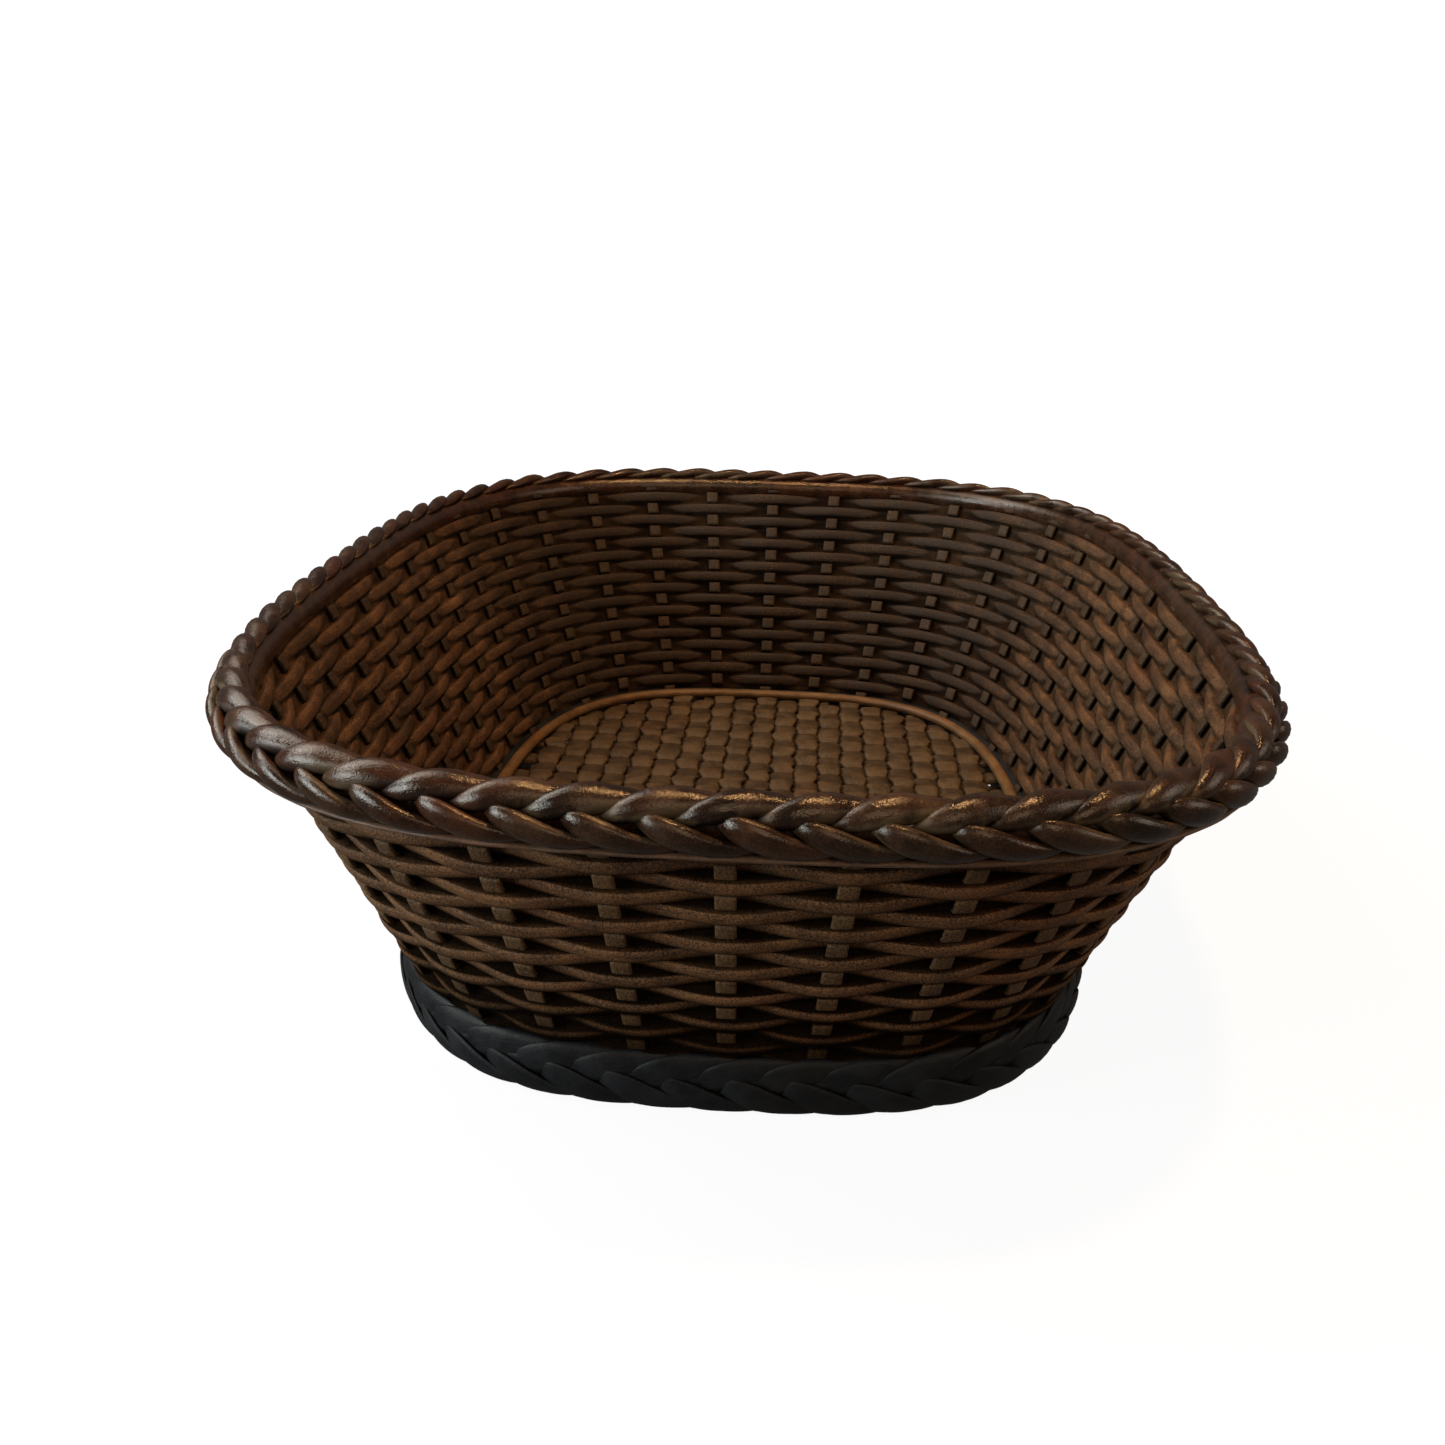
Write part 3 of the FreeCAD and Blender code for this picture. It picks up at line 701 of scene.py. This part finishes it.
def floor_rings(rng, indices, half, other_half, pitch, other_pitch, lengthwise):
    """The rings of some strips side by side, and the painted shade on each of their points: darker along
    their edges and where they dip under the crossing strips.
    """
    half_width = pitch * (LONG_HALF_WIDTH_SHARE if lengthwise else CROSS_HALF_WIDTH_SHARE)
    turns = round_turns(14)
    across = half_width * signed_power(np.cos(turns), 0.7)
    thick = STRIP_HALF_THICKNESS * signed_power(np.sin(turns), 0.8)
    reaches = np.array([strip_reach(half, other_half, min(abs(index) * pitch + 0.4 * pitch, half - 0.1))
                        for index in indices])
    samples = int(2 * max(reaches) / STRIP_SAMPLE_LENGTH)
    places = np.linspace(-reaches, reaches, samples, axis=1)
    parity = np.array([1 if (index % 2 == 0) == lengthwise else -1 for index in indices])
    wave = np.cos(math.pi * places / other_pitch) * parity[:, None]
    swing = STRIP_SWING * np.tanh(STRIP_STEP * wave) / math.tanh(STRIP_STEP)
    amount = LONG_SWAY if lengthwise else CROSS_SWAY
    sway = np.stack([low_waves(rng, line / SWAY_LENGTH, SWAY_WAVES, amount) for line in places])
    middle = np.array(indices)[:, None] * pitch + sway
    side = middle[..., None] + across * (1 + STRIP_SWELL * wave)[..., None]
    lift = LONG_LIFT if lengthwise else CROSS_LIFT
    height = FLOOR_Z + lift + swing[..., None] + thick
    run = np.broadcast_to(places[..., None], side.shape)
    plan = (side, run) if lengthwise else (run, side)
    # Painted shade along the edges and where the strip dips under the crossing strips.
    edge = STRIP_EDGE_SHADE * smoothstep(0.55, 1, np.abs(np.cos(turns)))
    shade_and_dust = np.clip(UNDER_SHADE * smoothstep(0.2, -0.7, wave)[..., None] + edge, 0, STRIP_DARKEST)
    return np.stack([*plan, height], axis=-1), shade_and_dust


def make_floor(rng):
    half_width, half_length = bead_high[0] - FLOOR_INSET, bead_high[1] - FLOOR_INSET
    column_pitch = half_width / (COLUMNS + 0.5)
    cross_pitch = half_length / (CROSS_ROWS + 0.5)
    sets = (("floor_long_strips_", COLUMNS, half_width, half_length, column_pitch, cross_pitch, True),
            ("floor_cross_strips_", CROSS_ROWS, half_length, half_width, cross_pitch, column_pitch, False))
    for prefix, count, half, other_half, pitch, other_pitch, lengthwise in sets:
        for first in range(-count, count + 1, GROUP):
            name = prefix + str((first + count) // GROUP + 1)
            indices = range(first, min(first + GROUP, count + 1))
            rings, shade_and_dust = floor_rings(rng, indices, half, other_half, pitch, other_pitch, lengthwise)
            if not lengthwise:
                rings = rings[:, :, ::-1]
            tone_and_shade = 0.6 * rng.random((len(indices), 1, 1)) + (LONG_TONE if lengthwise else CROSS_TONE)
            keep(strips(name + "_look", rings, False, FLOOR_CANE, shade_and_dust, tone_and_shade), "floor_cane", name)


# ---------------------------------------------------------------- stage, light and camera

STUDIO_HALF_SIZE = 6.0
STUDIO_GAP = 0.0002
# The studio floor's glow: distances from the middle, and its strength at each.
GLOW_NEAR, GLOW_FAR = 0.22, 0.8
GLOW_NEAR_STRENGTH, GLOW_FAR_STRENGTH = 0.93, 1.02
ROOM_LIGHT = (1.0, 0.92, 0.84, 1)
ROOM_STRENGTH = 0.10
# Name, place, the point it faces, width, height, watts and colour.
LIGHTS = [
    ("window", (-1.45, 0.05, 1.10), (0.03, 0.0, 0.05), 0.5, 0.4, 9.5, (0.84, 0.94, 1.0)),
    ("ceiling", (-0.90, 0.35, 1.20), (0.0, 0.0, 0.05), 0.9, 0.9, 11.0, (0.98, 0.95, 0.90)),
    ("lamp", (0.20, -0.05, 1.30), (0.0, -0.1, 0.06), 0.12, 0.12, 9.5, (1.0, 0.60, 0.27)),
    ("front_fill", (0.35, -1.50, 0.95), (0.0, -0.2, 0.06), 0.8, 0.4, 4.0, (1.0, 0.78, 0.56)),
    ("side_fill", (-1.50, -0.75, 0.42), (-0.1, -0.1, 0.06), 1.0, 0.7, 25.0, (0.78, 0.91, 1.0)),
    ("right_fill", (1.50, -0.30, 0.60), (0.1, -0.1, 0.06), 0.8, 0.6, 4.0, (1.0, 0.90, 0.80))]
CAMERA_YAW = math.radians(3.31)
CAMERA_ELEVATION = math.radians(19.40)
CAMERA_ROLL = math.radians(1.255)
CAMERA_DISTANCE = 0.5314
CAMERA_TARGET = Vector((-0.01177, 0, 0.05187))
CAMERA_SENSOR_MM = 36.0
CAMERA_LENS_MM = 36.15


def make_stage():
    """A white floor that glows a little more with distance, so that it meets the pale room unseen."""
    mesh = bpy.data.meshes.new("studio_floor")
    half = STUDIO_HALF_SIZE
    corners = [(-half, -half, 0), (half, -half, 0), (half, half, 0), (-half, half, 0)]
    mesh.from_pydata(corners, [], [(0, 1, 2, 3)])
    floor = bpy.data.objects.new("studio_floor", mesh)
    floor.location.z = -STUDIO_GAP
    bpy.context.scene.collection.objects.link(floor)
    nodes = Nodes("pale_paper")
    place = nodes.add("ShaderNodeTexCoord").outputs["Object"]
    distance = nodes.add("ShaderNodeVectorMath", {0: place}, operation="LENGTH").outputs["Value"]
    glow = nodes.band(distance, GLOW_NEAR, GLOW_FAR, GLOW_NEAR_STRENGTH, GLOW_FAR_STRENGTH)
    nodes.link(glow, "Emission Strength")
    nodes.shader.inputs["Emission Color"].default_value = (1, 1, 1, 1)
    nodes.shader.inputs["Base Color"].default_value = (0.10, 0.10, 0.10, 1)
    nodes.shader.inputs["Roughness"].default_value = 0.9
    nodes.shader.inputs["Specular IOR Level"].default_value = 0.0
    mesh.materials.append(nodes.material)
    floor.visible_diffuse = False
    floor.visible_glossy = False


def make_world():
    world = bpy.data.worlds.new("pale_room")
    bpy.context.scene.world = world
    world.use_nodes = True
    tree = world.node_tree
    background = tree.nodes["Background"]
    background.inputs["Color"].default_value = ROOM_LIGHT
    background.inputs["Strength"].default_value = ROOM_STRENGTH
    seen = tree.nodes.new("ShaderNodeBackground")
    seen.inputs["Color"].default_value = (1, 1, 1, 1)
    seen.inputs["Strength"].default_value = 1.0
    mixer = tree.nodes.new("ShaderNodeMixShader")
    path = tree.nodes.new("ShaderNodeLightPath")
    tree.links.new(path.outputs["Is Camera Ray"], mixer.inputs["Fac"])
    tree.links.new(background.outputs["Background"], mixer.inputs[1])
    tree.links.new(seen.outputs["Background"], mixer.inputs[2])
    tree.links.new(mixer.outputs["Shader"], tree.nodes["World Output"].inputs["Surface"])


def softbox(name, place, aim, wide, tall, power, colour):
    light = bpy.data.lights.new(name, "AREA")
    light.shape = "RECTANGLE"
    light.size = wide
    light.size_y = tall
    light.energy = power
    light.color = colour
    lamp = bpy.data.objects.new(name, light)
    lamp.location = place
    lamp.rotation_euler = (Vector(aim) - Vector(place)).to_track_quat("-Z", "Y").to_euler()
    bpy.context.scene.collection.objects.link(lamp)


def make_lights():
    for light in LIGHTS:
        softbox(*light)


def make_camera():
    flat = math.cos(CAMERA_ELEVATION)
    back = Vector((math.sin(CAMERA_YAW) * flat, -math.cos(CAMERA_YAW) * flat, math.sin(CAMERA_ELEVATION)))
    right = (-back).cross(Vector((0, 0, 1))).normalized()
    up = right.cross(-back)
    level_right = math.cos(CAMERA_ROLL) * right + math.sin(CAMERA_ROLL) * up
    level_up = -math.sin(CAMERA_ROLL) * right + math.cos(CAMERA_ROLL) * up
    data = bpy.data.cameras.new("camera")
    data.sensor_width = CAMERA_SENSOR_MM
    data.lens = CAMERA_LENS_MM
    camera = bpy.data.objects.new("camera", data)
    turn = Matrix((level_right, level_up, back)).transposed()
    camera.matrix_world = Matrix.Translation(CAMERA_TARGET + back * CAMERA_DISTANCE) @ turn.to_4x4()
    bpy.context.scene.collection.objects.link(camera)
    bpy.context.scene.camera = camera


make_camera()
make_world()
make_lights()
make_stage()
rng = np.random.default_rng(RNG_SEED)
make_weavers(rng)
make_stakes(rng)
make_plaits(rng)
make_rings(rng)
make_floor(rng)
bpy.context.scene.view_settings.view_transform = "Standard"
